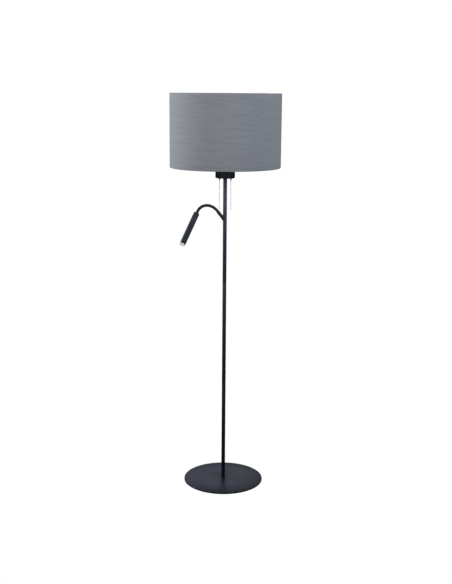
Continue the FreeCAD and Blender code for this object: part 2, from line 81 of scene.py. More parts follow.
# %% Heights and radii from the frame
shade_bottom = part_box("shade_skin")[0].z
shade_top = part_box("shade_skin")[1].z
cup_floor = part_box("cup_shell")[0].z
cup_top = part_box("cup_shell")[1].z
holder_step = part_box("lampholder_sleeve")[0].z
plate_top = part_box("base_plate")[1].z
plate_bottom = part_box("base_plate")[0].z
SHADE_RADIUS = 0.225
CUP_RADIUS = 0.040
BASE_RADIUS = 0.1675
POLE_RADIUS = 0.008
print("shade from", round(shade_bottom, 3), "to", round(shade_top, 3), "m")

# %% The curve of the flexible arm
BEND_RADIUS = 0.056
NECK_LINKS = 8
hinge_points = [Vector(joints[name]["pos_m"]) for name in joints if name.startswith("neck_")]
bend_normal = Vector(joints["neck_bend_1"]["axis"]).normalized()
first_swing = joints["neck_swing_1"]
bend_centre = Vector(first_swing["pos_m"]) - Vector(first_swing["axis"]).normalized() * BEND_RADIUS
out_at_start = (hinge_points[0] - bend_centre).normalized()
out_at_end = (hinge_points[-1] - bend_centre).normalized()
branch_axis = bend_normal.cross(out_at_start)
spot_axis = bend_normal.cross(out_at_end)
bend_angle = out_at_start.angle(out_at_end)
bend_length = bend_angle * BEND_RADIUS
link_length = bend_length / NECK_LINKS
NECK_START = 0.050
SPOT_TAIL = 0.009
branch_root = hinge_points[0] - branch_axis * NECK_START
spot_back = hinge_points[-1] + spot_axis * SPOT_TAIL
print("the arm bends", round(degrees(bend_angle), 1), "degrees over", round(bend_length, 4), "m")

# %% [markdown]
# ## The camera
#
# The lamp is seen from just under four metres away, from the height of the shade's top,
# looking down by about twelve degrees with a rather long lens, which keeps the drum nearly
# rectangular. The camera is made first.

# %% Camera
camera_data = bpy.data.cameras.new("camera")
camera = bpy.data.objects.new("camera", camera_data)
bpy.context.scene.collection.objects.link(camera)
bpy.context.scene.camera = camera
CAMERA_PLACE = (0, -3.8793, 1.6434)
CAMERA_PITCH = radians(11.852)
CAMERA_ROLL = radians(0.403)
camera_data.sensor_width = 36
camera_data.lens = 58.7
camera_data.shift_x = 0.0028
camera_turn = Matrix.Rotation(pi / 2 - CAMERA_PITCH, 4, "X") @ Matrix.Rotation(CAMERA_ROLL, 4, "Z")
camera.matrix_world = Matrix.Translation(CAMERA_PLACE) @ camera_turn
print("camera lens", camera_data.lens, "mm")

# %% [markdown]
# ## Helpers for turned metal
#
# Most of a lamp is turned, spun or drawn round an axis. A bmesh does the same: a few points
# of the half section, joined by edges, and the spin operator. The sharp rings are then
# bevelled, because no real edge is sharp, and a small bevel catches a line of light.

# %% A spun shape, bevelled rings, and a finished piece
def arc(centre, radius, start, end, count):
    """Points of an arc in a half section, angles in degrees from the outward direction."""
    step = (end - start) / count
    angles = [radians(start + step * i) for i in range(count + 1)]
    return [(centre[0] + radius * cos(a), centre[1] + radius * sin(a)) for a in angles]


def spun(outline, steps=96, closed=True, angle=tau):
    """A bmesh of the half section turned round Z; closed joins the last point to the first."""
    bm = bmesh.new()
    verts = [bm.verts.new((r, 0, z)) for r, z in outline]
    for i in range(len(verts) - 1 + closed):
        bm.edges.new((verts[i], verts[(i + 1) % len(verts)]))
    bmesh.ops.spin(bm, geom=bm.verts[:] + bm.edges[:], cent=(0, 0, 0), axis=(0, 0, 1),
                   angle=angle, steps=steps, use_merge=angle == tau)
    bmesh.ops.remove_doubles(bm, verts=bm.verts, dist=1e-6)
    bmesh.ops.dissolve_degenerate(bm, edges=bm.edges, dist=1e-6)
    bmesh.ops.recalc_face_normals(bm, faces=bm.faces)
    return bm


def soften(bm, width, segments=3, sharper_than=30):
    """Bevels every edge whose faces meet at more than this many degrees."""
    sharp = [e for e in bm.edges if len(e.link_faces) == 2
             and e.calc_face_angle() > radians(sharper_than)]
    bmesh.ops.bevel(bm, geom=sharp, offset=width, offset_type="OFFSET", segments=segments,
                    profile=0.5, affect="EDGES", clamp_overlap=True, material=-1)


def place_along(origin, axis, side):
    """The matrix that takes a shape made on the Z axis to origin, pointing along axis."""
    z = axis.normalized()
    x = (side - z * side.dot(z)).normalized()
    return Matrix.Translation(origin) @ Matrix((x, z.cross(x), z)).transposed().to_4x4()


def as_object(name, bm, material, smooth_under=40):
    """Turns a bmesh into a shaded object at the origin."""
    mesh = bpy.data.meshes.new(name)
    bm.to_mesh(mesh)
    bm.free()
    mesh.shade_smooth()
    mesh.set_sharp_from_angle(angle=radians(smooth_under))
    mesh.materials.append(material)
    piece = bpy.data.objects.new(name, mesh)
    bpy.context.scene.collection.objects.link(piece)
    return piece


def finish_piece(name, bm, material, body="stand", instead_of=(), place=None):
    """An object that rides on a body, has a slot, and stands for CAD nodes."""
    if place is not None:
        bmesh.ops.transform(bm, matrix=place, verts=bm.verts)
    piece = as_object(name, bm, material)
    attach(piece, body)
    if instead_of:
        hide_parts(*instead_of)
    print(name, len(piece.data.polygons), "faces")
    return piece


# %% [markdown]
# ## Helpers for finishes
#
# Each finish is a Principled shader with procedural textures. They all read Object
# coordinates, in metres, so a scale of 1000 makes features a millimetre apart. Two kinds of
# noise are enough for paint, plastic and plated metal: a broad one that varies the colour
# and the gloss a little, and a fine one that drives a bump.

# %% Shader building blocks
def new_finish(name, colour, metallic=0.0, roughness=0.5):
    """A material with a Principled shader; returns it with its node tree and the shader."""
    material = bpy.data.materials.new(name)
    material.use_nodes = True
    tree = material.node_tree
    shader = tree.nodes["Principled BSDF"]
    shader.inputs["Base Color"].default_value = (*colour, 1)
    shader.inputs["Metallic"].default_value = metallic
    shader.inputs["Roughness"].default_value = roughness
    return material, tree, shader


def texture(tree, kind, vector=None, **settings):
    """A texture node; settings name its inputs, with capitals where Blender has them."""
    node = tree.nodes.new(kind)
    for name, value in settings.items():
        node.inputs[name.replace("_", " ")].default_value = value
    if vector is None:
        vector = tree.nodes.new("ShaderNodeTexCoord").outputs["Object"]
    tree.links.new(vector, node.inputs["Vector"])
    return node


def remap(tree, value, low, high, from_low=0.3, from_high=0.7):
    """A value stretched from one range to another."""
    node = tree.nodes.new("ShaderNodeMapRange")
    tree.links.new(value, node.inputs["Value"])
    for name, number in (("From Min", from_low), ("From Max", from_high),
                         ("To Min", low), ("To Max", high)):
        node.inputs[name].default_value = number
    return node.outputs["Result"]


def blend_colours(tree, factor, first, second):
    """A colour between two, by a factor from 0 to 1."""
    node = tree.nodes.new("ShaderNodeMix")
    node.data_type = "RGBA"
    tree.links.new(factor, node.inputs["Factor"])
    node.inputs["A"].default_value = (*first, 1)
    node.inputs["B"].default_value = (*second, 1)
    return node.outputs["Result"]


def combine(tree, operation, first, second):
    """Arithmetic on two values; either may be a plain number."""
    node = tree.nodes.new("ShaderNodeMath")
    node.operation = operation
    for socket, value in zip(node.inputs, (first, second)):
        if isinstance(value, (int, float)):
            socket.default_value = value
        else:
            tree.links.new(value, socket)
    return node.outputs["Value"]


def add_bump(tree, shader, height, distance, strength=1.0):
    """Connects a height to the shader's normal through a Bump node."""
    bump = tree.nodes.new("ShaderNodeBump")
    bump.inputs["Strength"].default_value = strength
    bump.inputs["Distance"].default_value = distance
    tree.links.new(height, bump.inputs["Height"])
    tree.links.new(bump.outputs["Normal"], shader.inputs["Normal"])


def scaled(colour, factor):
    """A colour made darker or lighter."""
    return tuple(min(1.0, channel * factor) for channel in colour)


def noisy_finish(name, colour, metallic=0.0, roughness=0.5, varies=0.05, gloss_varies=0.08,
                 broad=60, fine=1500, depth=0.00001, **sockets):
    """The common finish: broad variation of colour and gloss, and a fine bump."""
    material, tree, shader = new_finish(name, colour, metallic, roughness)
    cloud = texture(tree, "ShaderNodeTexNoise", Scale=broad, Detail=5.0, Roughness=0.6)
    tint = remap(tree, cloud.outputs["Fac"], 0, 1)
    mixed = blend_colours(tree, tint, scaled(colour, 1 - varies), scaled(colour, 1 + varies))
    tree.links.new(mixed, shader.inputs["Base Color"])
    grain = texture(tree, "ShaderNodeTexNoise", Scale=fine, Detail=3.0, Roughness=0.55)
    gloss = combine(tree, "ADD", combine(tree, "MULTIPLY", cloud.outputs["Fac"], 0.5),
                    combine(tree, "MULTIPLY", grain.outputs["Fac"], 0.5))
    tree.links.new(remap(tree, gloss, roughness - gloss_varies, roughness + gloss_varies),
                   shader.inputs["Roughness"])
    add_bump(tree, shader, grain.outputs["Fac"], depth)
    for socket, value in sockets.items():
        shader.inputs[socket.replace("_", " ")].default_value = value
    return material


print("helpers ready")

# %% [markdown]
# ## Paint, plating and plastic
#
# The stand is steel with a dark blue-grey powder coat: satin, with the faint orange peel
# that baked powder has. The plate's coat is darker and glossier. The cup, the branch and the
# spot get darker copies of the pole's coat. These are a painted shadow of the drum that
# hangs over them, and one loop makes the three. The chains are nickel and their bells are
# paler. Inside parts get the zinc plating and the moulded plastics that lamp fittings have.
# Each finish names how much its colour and its gloss vary, how broad and how fine the two
# noises are, and how deep the bump is in metres.

# %% Metal and paint
POLE_SLATE = (0.026, 0.034, 0.053)
PLATE_SLATE = (0.0135, 0.0165, 0.0285)
paint = noisy_finish("slate_powder_coat", POLE_SLATE, roughness=0.48, varies=0.10,
                     gloss_varies=0.05, broad=22, fine=900, Specular_IOR_Level=0.25)
plate_paint = noisy_finish("slate_plate_coat", PLATE_SLATE, roughness=0.38, varies=0.15,
                           gloss_varies=0.04, broad=16, fine=900, Specular_IOR_Level=0.45)
# The pole's coat darkened for the cup, branch and spot: a painted shadow of the drum above them.
shaded_cup_paint, shaded_branch_paint, shaded_spot_paint = [
    noisy_finish("slate_%s_coat" % part, scaled(POLE_SLATE, painted_shadow_share), roughness=0.5, varies=0.08,
                 broad=60, fine=1200, Specular_IOR_Level=0.2)
    for part, painted_shadow_share in (("cup", 0.45), ("branch", 0.35), ("spot", 0.50))]
bell_metal = noisy_finish("pearl_bell_metal", (0.86, 0.86, 0.85), metallic=0.2, roughness=0.36,
                          varies=0.04, gloss_varies=0.06, broad=400, fine=3000)
nickel = noisy_finish("satin_nickel", (0.38, 0.39, 0.39), metallic=0.8, roughness=0.34,
                      varies=0.05, gloss_varies=0.06, broad=400, fine=3000)
zinc = noisy_finish("zinc_plate", (0.55, 0.56, 0.57), metallic=1.0, roughness=0.38,
                    varies=0.15, gloss_varies=0.1, broad=250, fine=2500, depth=0.00002)
blackened = noisy_finish("blackened_steel", (0.05, 0.05, 0.055), metallic=0.8, roughness=0.4,
                         varies=0.2, gloss_varies=0.1, broad=300, fine=2500, depth=0.00002)
spring_wire = noisy_finish("spring_wire", (0.45, 0.45, 0.46), metallic=1.0, roughness=0.3,
                           varies=0.1, gloss_varies=0.08, broad=500, fine=4000)
machined = noisy_finish("machined_aluminium", (0.68, 0.69, 0.70), metallic=1.0, roughness=0.32,
                        varies=0.06, gloss_varies=0.1, broad=200, fine=2600, depth=0.00002)
white_wire = noisy_finish("white_coated_wire", (0.72, 0.72, 0.70), roughness=0.42,
                          varies=0.05, gloss_varies=0.08, broad=60, fine=1500, depth=0.00004)
print("metal and paint ready")

# %% Plastics, foam and leads
black_plastic = noisy_finish("black_moulding", (0.02, 0.02, 0.022), roughness=0.5,
                             varies=0.15, gloss_varies=0.08, broad=90, fine=1600, depth=0.00003)
white_plastic = noisy_finish("white_moulding", (0.75, 0.75, 0.73), roughness=0.45,
                             varies=0.04, gloss_varies=0.08, broad=80, fine=1500, depth=0.00003)
lead_sheath = noisy_finish("lead_sheath", (0.03, 0.03, 0.033), roughness=0.62,
                           varies=0.2, gloss_varies=0.06, broad=120, fine=2000, depth=0.00004)
board_mask = noisy_finish("white_solder_mask", (0.78, 0.78, 0.75), roughness=0.3,
                          varies=0.05, gloss_varies=0.06, broad=400, fine=3000)
opal = noisy_finish("frosted_opal", (0.82, 0.82, 0.79), roughness=0.5, varies=0.02,
                    gloss_varies=0.05, broad=40, fine=1800, depth=0.00002,
                    Subsurface_Weight=0.35, Subsurface_Radius=(0.004, 0.004, 0.004))
foam, tree, shader = new_finish("closed_cell_foam", (0.02, 0.02, 0.022), 0.0, 0.9)
cells = texture(tree, "ShaderNodeTexVoronoi", Scale=1400.0)
tree.links.new(blend_colours(tree, remap(tree, cells.outputs["Distance"], 0, 1, 0, 0.6),
                             (0.014, 0.014, 0.015), (0.035, 0.035, 0.037)),
               shader.inputs["Base Color"])
add_bump(tree, shader, cells.outputs["Distance"], 0.0002)
print("plastics ready")

# %% [markdown]
# ## Shade cloth
#
# The drum is covered with a slub weave: thin warp threads that stand upright, and uneven
# weft threads that run round the drum and show as fine level streaks. The pattern must
# follow the surface, so the cloth carries a UV map in metres: how far round the drum, and
# how high. Thin noise stretched along the weft makes the slubs; two wave textures make the
# threads; both feed the colour and the bump. A little sheen lifts the edges of the drum,
# where the fibres are seen along the surface.

# %% The weave
def stretched(tree, uv, across, up):
    """The UV map scaled separately round the drum and upwards."""
    node = tree.nodes.new("ShaderNodeMapping")
    tree.links.new(uv, node.inputs["Vector"])
    node.inputs["Scale"].default_value = (across, up, 1)
    return node.outputs["Vector"]


def wave(tree, vector, direction, scale):
    """Parallel threads as a sine wave."""
    node = texture(tree, "ShaderNodeTexWave", vector, Scale=scale, Distortion=0.6,
                   Detail=2.0, Detail_Scale=1.0)
    node.bands_direction = direction
    return node.outputs["Fac"]


CLOTH_DARK = (0.155, 0.160, 0.170)
CLOTH_LIGHT = (0.240, 0.247, 0.260)
cloth, tree, shader = new_finish("slub_weave", (0.2, 0.205, 0.22), 0.0, 0.92)
uv_node = tree.nodes.new("ShaderNodeUVMap")
uv_node.uv_map = "weave"
uv = uv_node.outputs["UV"]
weft_slubs = texture(tree, "ShaderNodeTexNoise", stretched(tree, uv, 22, 520),
                     Scale=1.0, Detail=4.0, Roughness=0.62).outputs["Fac"]
long_slubs = texture(tree, "ShaderNodeTexNoise", stretched(tree, uv, 7, 160),
                     Scale=1.0, Detail=3.0, Roughness=0.5).outputs["Fac"]
warp_slubs = texture(tree, "ShaderNodeTexNoise", stretched(tree, uv, 900, 30),
                     Scale=1.0, Detail=3.0, Roughness=0.6).outputs["Fac"]
weft = wave(tree, uv, "Y", 330.0)
warp = wave(tree, uv, "X", 380.0)
threads = combine(tree, "MULTIPLY", weft, warp)
shade_of_grey = combine(tree, "ADD", combine(tree, "MULTIPLY", weft_slubs, 0.50),
                        combine(tree, "MULTIPLY", long_slubs, 0.34))
shade_of_grey = combine(tree, "ADD", shade_of_grey,
                        combine(tree, "MULTIPLY", warp_slubs, 0.16))
shade_of_grey = combine(tree, "ADD", shade_of_grey, combine(tree, "MULTIPLY", threads, 0.12))
tint = remap(tree, shade_of_grey, 0, 1, 0.33, 0.73)
tree.links.new(blend_colours(tree, tint, CLOTH_DARK, CLOTH_LIGHT), shader.inputs["Base Color"])
height = combine(tree, "ADD", combine(tree, "MULTIPLY", threads, 0.5), weft_slubs)
add_bump(tree, shader, height, 0.00022, 0.8)
shader.inputs["Sheen Weight"].default_value = 0.25
shader.inputs["Sheen Roughness"].default_value = 0.45
shader.inputs["Sheen Tint"].default_value = (0.75, 0.78, 0.85, 1)
shader.inputs["Specular IOR Level"].default_value = 0.2
liner_white = noisy_finish("white_shade_liner", (0.78, 0.78, 0.76), roughness=0.6,
                           varies=0.03, gloss_varies=0.08, broad=30, fine=1200, depth=0.00003)
print("cloth ready")

# %% [markdown]
# ## The pull chains
#
# Each pull switch hangs on a ball chain: hollow nickel balls 2.4 mm across, joined by short
# wires. The chain is limp and hangs plumb, so its line is straight. Every chain follows the
# points of its own NURBS line, and the balls are small spheres with few faces, because there
# are dozens of them.

# %% Lines and balls
CHAIN_RADIUS = 0.0012
BALL_PITCH = 0.0028
WIRE_RADIUS = 0.00045


def bent_line(name, route, smoothness, radius=0.0, closed=False):
    """The mesh of a NURBS line of order three, with a round section if it has a radius."""
    curve = bpy.data.curves.new(name, "CURVE")
    curve.dimensions = "3D"
    curve.resolution_u = smoothness
    curve.bevel_depth = radius
    curve.bevel_resolution = 4
    curve.use_fill_caps = True
    spline = curve.splines.new("NURBS")
    spline.points.add(len(route) - 1)
    for point, place in zip(spline.points, route):
        point.co = (*place, 1)
    spline.order_u = 3
    spline.use_endpoint_u = not closed
    spline.use_cyclic_u = closed
    helper = bpy.data.objects.new(name, curve)
    bpy.context.scene.collection.objects.link(helper)
    bpy.context.view_layer.update()
    mesh = bpy.data.meshes.new_from_object(helper)
    bpy.data.objects.remove(helper)
    return mesh


def point_along(points, distance):
    """The point at this distance along a polyline, and the direction there."""
    for a, b in zip(points, points[1:]):
        step = (b - a).length
        if distance <= step or b is points[-1]:
            return a + (b - a) * min(1.0, distance / step), (b - a).normalized()
        distance -= step


def ball_chain(side):
    """One hanging chain of balls joined by short wires."""
    low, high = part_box("pull_chain_" + side)
    x, y = (low.x + high.x) / 2, (low.y + high.y) / 2
    route = [(x, y, high.z), (x, y, (low.z + high.z) / 2), (x, y, low.z)]
    line = bent_line("chain_line_" + side, route, smoothness=24)
    points = [vertex.co.copy() for vertex in line.vertices]
    length = high.z - low.z
    count = floor((length - 2 * CHAIN_RADIUS) / BALL_PITCH) + 1
    pitch = (length - 2 * CHAIN_RADIUS) / (count - 1)
    bm = bmesh.new()
    for i in range(count):
        centre, direction = point_along(points, CHAIN_RADIUS + pitch * i)
        bmesh.ops.create_uvsphere(bm, u_segments=12, v_segments=8, radius=CHAIN_RADIUS,
                                  matrix=Matrix.Translation(centre))
        if i < count - 1:
            link = place_along(centre + direction * pitch / 2, direction, Vector((1, 0, 0)))
            bmesh.ops.create_cone(bm, cap_ends=True, segments=8, radius1=WIRE_RADIUS,
                                  radius2=WIRE_RADIUS, depth=pitch, matrix=link)
    chain = finish_piece("ball_chain_" + side, bm, nickel, "pull_" + side,
                         ["pull_chain_" + side])


for side in ("left", "right"):
    ball_chain(side)

# %% [markdown]
# ## The base and the pole
#
# The plate is a disc of steel with its edge barely broken. The pole is three tubes with a
# hairline where they meet. Both are spun, and then softened by a few tenths of a
# millimetre.

# %% Base plate
FOOT_HOLE = 0.0056
RECESS_RADIUS = 0.020
RECESS_DEPTH = 0.003
PLATE_EDGE = 0.0009
recess_top = plate_bottom + RECESS_DEPTH
plate = spun([(FOOT_HOLE, plate_top), (BASE_RADIUS, plate_top), (BASE_RADIUS, plate_bottom),
              (RECESS_RADIUS, plate_bottom), (RECESS_RADIUS, recess_top),
              (FOOT_HOLE, recess_top)], 192)
soften(plate, PLATE_EDGE, 3, 60)
finish_piece("plate_base", plate, plate_paint, instead_of=["base_plate"])

# %% Pole sections
POLE_WALL = 0.0012
POLE_EDGE = 0.00025
for label in ("lower_pole", "middle_pole", "upper_pole"):
    low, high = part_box(label)
    tube = spun([(POLE_RADIUS - POLE_WALL, low.z), (POLE_RADIUS, low.z),
                 (POLE_RADIUS, high.z), (POLE_RADIUS - POLE_WALL, high.z)], 48)
    soften(tube, POLE_EDGE, 2, 60)
    finish_piece(label + "_tube", tube, paint, instead_of=[label])

# %% [markdown]
# ## The switch cup
#
# A cup spun from sheet steel hides the terminals and the two switches. Its lower edge is
# rolled over a former, so it is round. Below it hang two small bells that guide the chains.
# A bell is turned too, but about its own axis, so it is spun on the Z axis and then moved to
# its place under the cup.

# %% Cup
CUP_WALL = 0.0012
CUP_ROUND = 0.005
CUP_HOLE = 0.005
CUP_EDGE = 0.0003
round_centre = (CUP_RADIUS - CUP_ROUND, cup_floor + CUP_ROUND)
cup = spun([(CUP_HOLE, cup_floor)] + arc(round_centre, CUP_ROUND, -90, 0, 8)
           + [(CUP_RADIUS, cup_top), (CUP_RADIUS - CUP_WALL, cup_top)]
           + arc(round_centre, CUP_ROUND - CUP_WALL, 0, -90, 8)
           + [(CUP_HOLE, cup_floor + CUP_WALL)])
soften(cup, CUP_EDGE, 2, 60)
finish_piece("switch_cup", cup, shaded_cup_paint, instead_of=["cup_shell"])

# %% Bells
def bell(side):
    """A turned bell: a collar against the cup, a flared waist and a rolled mouth."""
    low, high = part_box("pull_bell_" + side)
    centre = Vector(((low.x + high.x) / 2, (low.y + high.y) / 2, cup_floor))
    outline = [(0.0018, -0.010), (0.0026, -0.010)]
    outline += arc((0.0026, -0.0094), 0.0006, -90, 60, 5)
    outline += [(0.0028, -0.0072), (0.0031, -0.0050), (0.0038, -0.0026)]
    outline += arc((0.0034, -0.0010), 0.0006, -10, 80, 4)
    outline += [(0.0030, -0.0001), (0.0030, 0.0012), (0.0018, 0.0012)]
    finish_piece("bell_" + side, spun(outline, 40), bell_metal, "stand",
                 ["pull_bell_" + side], Matrix.Translation(centre))


for side in ("left", "right"):
    bell(side)

# %% [markdown]
# ## The return springs
#
# Inside each switch a small coil spring lifts the chain again after a pull. A coil could be
# a curve with a round bevel. Here a circle of wire is spun round the spring's axis and lifted
# a little at each step, which gives one mesh with both ends closed.

# %% Return springs
SPRING_RADIUS = 0.0032
SPRING_WIRE = 0.0004
SPRING_TURNS = 6
STEPS_A_TURN = 20


def return_spring(side):
    """A coil wound by a spin that also rises."""
    low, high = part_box("pull_spring_" + side)
    axis_line = Vector(((low.x + high.x) / 2, (low.y + high.y) / 2, low.z))
    bm = bmesh.new()
    bmesh.ops.create_circle(bm, segments=8, radius=SPRING_WIRE,
                            matrix=Matrix.Translation((SPRING_RADIUS, 0, SPRING_WIRE))
                            @ Matrix.Rotation(pi / 2, 4, "X"))
    steps = SPRING_TURNS * STEPS_A_TURN
    rise = (high.z - low.z - 2 * SPRING_WIRE) / steps
    bmesh.ops.spin(bm, geom=bm.verts[:] + bm.edges[:], cent=(0, 0, 0), axis=(0, 0, 1),
                   dvec=(0, 0, rise), angle=tau * SPRING_TURNS, steps=steps, use_merge=False)
    bmesh.ops.holes_fill(bm, edges=[e for e in bm.edges if e.is_boundary], sides=0)
    bmesh.ops.recalc_face_normals(bm, faces=bm.faces)
    spring = finish_piece("switch_spring_" + side, bm, spring_wire, "stand",
                          ["pull_spring_" + side], Matrix.Translation(axis_line))
    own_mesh(spring)


for side in ("left", "right"):
    return_spring(side)

# %% [markdown]
# ## The lampholder and the bulb
#
# Inside the shade a black E27 holder carries a frosted LED bulb. The holder's sleeve has an
# outer thread for the ring that clamps the shade's spider. Threads are drawn as close rings,
# one for each turn.

# %% Lampholder
def thread_rings(radius, low, high, pitch, depth):
    """The wavy outline of a rounded thread, from low to high."""
    turns = int(round((high - low) / pitch))
    step = (high - low) / turns
    points = []
    for i in range(turns):
        points += [(radius - depth, low + step * i), (radius, low + step * (i + 0.35)),
                   (radius, low + step * (i + 0.65))]
    return points + [(radius - depth, high)]


HOLDER_RADIUS = 0.020
HOLDER_WALL = 0.002
HOLDER_BORE = 0.0137
THREAD_RADIUS = 0.019
NUT_RADIUS = 0.0234
NUT_RIBS = 36
RIB_HEIGHT = 0.0006
holder_cap = spun([(CUP_HOLE, cup_top), (HOLDER_RADIUS - 0.003, cup_top),
                   (HOLDER_RADIUS, cup_top + 0.004), (HOLDER_RADIUS, holder_step),
                   (HOLDER_RADIUS - HOLDER_WALL, holder_step),
                   (HOLDER_RADIUS - HOLDER_WALL, cup_top + 0.003),
                   (CUP_HOLE, cup_top + 0.003)], 72)
soften(holder_cap, 0.0005)
finish_piece("holder_cap", holder_cap, black_plastic,
             instead_of=["lampholder_cap"])
sleeve_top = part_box("lampholder_sleeve")[1].z
nut_low, nut_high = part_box("shade_clamp_ring")
seat = nut_low.z - 0.003
outline = [(HOLDER_BORE, holder_step), (HOLDER_RADIUS, holder_step), (HOLDER_RADIUS, seat)]
outline += thread_rings(THREAD_RADIUS, seat, sleeve_top, 0.0015, 0.0006)
outline += [(HOLDER_BORE, sleeve_top)]
finish_piece("holder_sleeve", spun(outline, 72), black_plastic,
             instead_of=["lampholder_sleeve"])

# %% Shade ring nut, with grip ribs
nut = spun([(THREAD_RADIUS, nut_low.z), (NUT_RADIUS, nut_low.z),
            (NUT_RADIUS, nut_high.z), (THREAD_RADIUS, nut_high.z)], NUT_RIBS * 2)
middles = {face: face.calc_center_median() for face in nut.faces}
outside = [face for face in nut.faces if middles[face].xy.length > NUT_RADIUS - 0.0002]
outside.sort(key=lambda face: atan2(middles[face].y, middles[face].x))
raised = bmesh.ops.extrude_discrete_faces(nut, faces=outside[::2])["faces"]
for face in raised:
    bmesh.ops.translate(nut, verts=face.verts, vec=face.normal * RIB_HEIGHT)
finish_piece("shade_ring_nut", nut, black_plastic,
             instead_of=["shade_clamp_ring"])

# %% Bulb
cap_low, cap_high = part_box("bulb_screw_cap")
bulb_cap = spun([(0, cap_low.z), (0.004, cap_low.z), (0.0052, cap_low.z + 0.0015),
                 (0.011, cap_low.z + 0.005)]
                + thread_rings(0.0132, cap_low.z + 0.006, cap_high.z - 0.003, 0.0036, 0.0011)
                + [(0.0128, cap_high.z), (0, cap_high.z)], 64, closed=False)
finish_piece("bulb_thread", bulb_cap, zinc, instead_of=["bulb_screw_cap"])
body_low, body_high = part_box("bulb_housing")
globe_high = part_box("bulb_globe")[1]
GLOBE_RADIUS = 0.030
globe_centre = globe_high.z - GLOBE_RADIUS
waist = [(0, body_low.z), (0.0142, body_low.z), (0.0146, body_low.z + 0.004),
         (0.0155, body_low.z + 0.016), (0.0175, body_low.z + 0.026),
         (0.0193, body_high.z), (0, body_high.z)]
finish_piece("bulb_body", spun(waist, 72, closed=False), white_plastic,
             instead_of=["bulb_housing"])
globe = spun(arc((0, globe_centre), GLOBE_RADIUS, -50, 90, 24), 72, closed=False)
glass = finish_piece("bulb_glass", globe, opal, instead_of=["bulb_globe"])
thickness = glass.modifiers.new("thickness", "SOLIDIFY")
thickness.thickness = 0.0012

# %% [markdown]
# ## The shade
#
# A drum shade is a strip of plastic liner with cloth glued to it. At the top and at the
# bottom the cloth is rolled round a wire ring and tucked inside, which leaves a soft narrow
# bead round each edge. The strip's two ends overlap at the back. The cloth here is one spun
# sheet whose section goes over both rings; the liner and the lap are pieces of their own.

# %% The rolled section
RING_WIRE = 0.0015
RING_LINE = 0.2223
ROLL = 0.0021
TUCK = 0.010
FLAT_FROM = 0.0048
CLOTH_LINE = SHADE_RADIUS - 0.0002
CLOTH_THICKNESS = 0.0004
ring_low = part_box("shade_bottom_ring")[0].z + RING_WIRE
ring_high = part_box("shade_top_ring")[1].z - RING_WIRE
edge = [(RING_LINE - ROLL, TUCK)] + arc((RING_LINE, 0), ROLL, 180, 350, 14)
edge += [(CLOTH_LINE - 0.0003, FLAT_FROM - 0.0016), (CLOTH_LINE, FLAT_FROM)]
flat_height = ring_high - ring_low - 2 * FLAT_FROM
section = [(radius, ring_low + height) for radius, height in edge]
section += [(CLOTH_LINE, ring_low + FLAT_FROM + flat_height * i / 12) for i in range(1, 12)]
section += [(radius, ring_high - height) for radius, height in reversed(edge)]
print("the shade's section has", len(section), "points")


# %% Cloth with a UV map in metres
def wrap_uv(piece, radius):
    """A UV map: metres round the drum from its front, and metres up."""
    layer = piece.data.uv_layers.new(name="weave")
    for polygon in piece.data.polygons:
        middle = atan2(polygon.center.x, -polygon.center.y)
        for index in polygon.loop_indices:
            co = piece.data.vertices[piece.data.loops[index].vertex_index].co
            angle = atan2(co.x, -co.y)
            if angle - middle > pi:
                angle -= tau
            if middle - angle > pi:
                angle += tau
            layer.data[index].uv = (angle * radius, co.z)


cover = finish_piece("shade_cloth", spun(section, 192, closed=False), cloth,
                     instead_of=["shade_skin"])
wrap_uv(cover, SHADE_RADIUS)
thickness = cover.modifiers.new("thickness", "SOLIDIFY")
thickness.thickness = CLOTH_THICKNESS
thickness.offset = -1
LAP = 0.012
LAP_END = 0.003
lap_line = SHADE_RADIUS + 0.0001
lap_angle = LAP / SHADE_RADIUS
lap = spun([(lap_line, ring_low + LAP_END), (lap_line, ring_high - LAP_END)], 6, closed=False,
           angle=lap_angle)
bmesh.ops.rotate(lap, verts=lap.verts, cent=(0, 0, 0),
                 matrix=Matrix.Rotation(pi / 2 - lap_angle / 2, 3, "Z"))
bmesh.ops.solidify(lap, geom=lap.faces[:], thickness=CLOTH_THICKNESS)
bmesh.ops.recalc_face_normals(lap, faces=lap.faces)
lap_piece = finish_piece("shade_lap", lap, cloth)
wrap_uv(lap_piece, SHADE_RADIUS)

# %% Liner
LINER_OUTSIDE = 0.2244
LINER_INSIDE = 0.2238
liner_low, liner_high = ring_low + 0.004, ring_high - 0.004
liner = spun([(LINER_OUTSIDE, liner_low), (LINER_OUTSIDE, liner_high),
              (LINER_INSIDE, liner_high), (LINER_INSIDE, liner_low)], 192)
finish_piece("shade_liner", liner, liner_white)

# %% [markdown]
# ## The spider
#
# Three wire arms rise from the bottom ring to an eye that sits on the lampholder. Each arm
# leaves the ring level for a little way, where it is welded, and then climbs. A curve with a
# round bevel is the natural way to draw bent wire.

# %% Eye and arms
def wire(name, route, radius, closed=False):
    """A bmesh of round wire bent along a route."""
    bm = bmesh.new()
    bm.from_mesh(bent_line(name, route, 8, radius, closed))
    bmesh.ops.recalc_face_normals(bm, faces=bm.faces)
    return bm


ARM_WIRE = 0.0016
EYE_HOLE = 0.0193
EYE_RADIUS = 0.024
eye = spun([(EYE_HOLE, seat), (EYE_RADIUS, seat), (EYE_RADIUS, seat + 0.003),
            (EYE_HOLE, seat + 0.003)], 72)
soften(eye, 0.0006)
finish_piece("spider_eye", eye, white_wire, instead_of=["shade_spider"])
ring_reach = RING_LINE - RING_WIRE - 0.0002
eye_middle = seat + 0.0015
side_view = [(ring_reach, ring_low), (ring_reach - 0.006, ring_low),
             (ring_reach - 0.018, ring_low + 0.001), (0.045, eye_middle), (0.032, eye_middle),
             (0.0225, eye_middle)]
for i in range(3):
    heading = radians(60 + 120 * i)
    route = [(out * cos(heading), out * sin(heading), height) for out, height in side_view]
    finish_piece("spider_arm_%d" % (i + 1), wire("arm", route, ARM_WIRE), white_wire)

